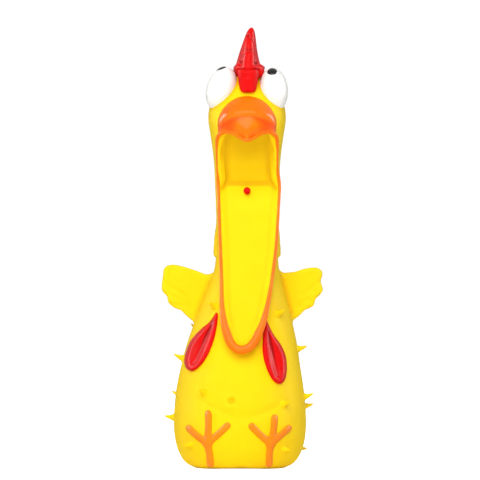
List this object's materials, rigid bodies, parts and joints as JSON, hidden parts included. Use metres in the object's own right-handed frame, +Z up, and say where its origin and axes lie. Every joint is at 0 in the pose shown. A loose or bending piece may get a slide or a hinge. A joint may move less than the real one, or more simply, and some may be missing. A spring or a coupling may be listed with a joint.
{
  "type": "squeaking rubber chicken",
  "caption": "Standing hollow latex chicken with a gaping beak, bulging eyes, floppy wings and a flexing neck, which squeaks when its belly is pressed.",
  "frame": {"origin": "centre of the flat base that the chicken stands on", "axes": "+Z up through the neck, -Y the way the open beak faces, +X the chicken's own left, on the right seen from the front"},
  "size_m": [0.1101, 0.1007, 0.2999],
  "materials": {
    "latex_yellow": "satin-gloss latex, coloured through",
    "latex_mouth": "smooth glossy latex, a brighter yellow",
    "latex_orange": "glossy latex paint",
    "foot_orange": "satin latex paint",
    "latex_red": "glossy latex paint",
    "eye_white": "glossy white latex paint",
    "pupil_black": "glossy black paint",
    "squeaker_plastic": "moulded white polyethylene",
    "reed_brass": "thin rolled strip"
  },
  "bodies": {
    "torso": {"torso_skin": "latex_yellow", "jaw_chin": "latex_mouth", "chin_lip": "latex_orange", "wattle_left": "latex_red", "wattle_right": "latex_red", "foot_left": "foot_orange", "foot_right": "foot_orange", "body_spikes": "latex_yellow", "tail": "latex_yellow", "squeaker_cup": "squeaker_plastic", "squeaker_cap": "squeaker_plastic", "reed_block": "squeaker_plastic", "reed_clamp": "squeaker_plastic"},
    "belly": {"belly_skin": "latex_yellow", "navel": "latex_yellow"},
    "neck": {"neck_skin": "latex_yellow", "hackle_collar": "latex_yellow", "jaw": "latex_mouth", "lip_left": "latex_orange", "lip_right": "latex_orange", "throat_button": "latex_red"},
    "head": {"head_skin": "latex_yellow", "mouth_lining": "latex_mouth", "upper_beak": "latex_orange", "beak_rim_left": "latex_orange", "beak_rim_right": "latex_orange", "comb": "latex_red", "eye_left": "eye_white", "eye_right": "eye_white", "pupil_left": "pupil_black", "pupil_right": "pupil_black"},
    "wing_left": {"wing_left": "latex_yellow"},
    "wing_right": {"wing_right": "latex_yellow"},
    "reed": {"squeaker_reed": "reed_brass"}
  },
  "joints": [
    {"name": "neck_sway", "type": "hinge", "parent": "torso", "child": "neck", "pos_m": [0.0046, 0, 0.138], "axis": [0, 1, 0], "range_deg": [-20, 20], "stiffness_Nm_per_rad": 0.9},
    {"name": "head_nod", "type": "hinge", "parent": "neck", "child": "head", "pos_m": [0.0048, 0.007, 0.193], "axis": [1, 0, 0], "range_deg": [-12, 26], "stiffness_Nm_per_rad": 0.6},
    {"name": "wing_left_flap", "type": "hinge", "parent": "torso", "child": "wing_left", "pos_m": [-0.02855, 0.006, 0.11075], "axis": [0.3671, 0, 0.9302], "range_deg": [-35, 35], "stiffness_Nm_per_rad": 0.03},
    {"name": "wing_right_flap", "type": "hinge", "parent": "torso", "child": "wing_right", "pos_m": [0.0349, 0.006, 0.11075], "axis": [-0.2214, 0, 0.9752], "range_deg": [-35, 35], "stiffness_Nm_per_rad": 0.03},
    {"name": "belly_press", "type": "slide", "parent": "torso", "child": "belly", "axis": [0, 1, 0], "range_m": [0, 0.01], "stiffness_N_per_m": 400},
    {"name": "reed_flex", "type": "hinge", "parent": "torso", "child": "reed", "pos_m": [0, -0.003, 0.00635], "axis": [1, 0, 0], "range_deg": [0, 6], "stiffness_Nm_per_rad": 0.0005}
  ]
}
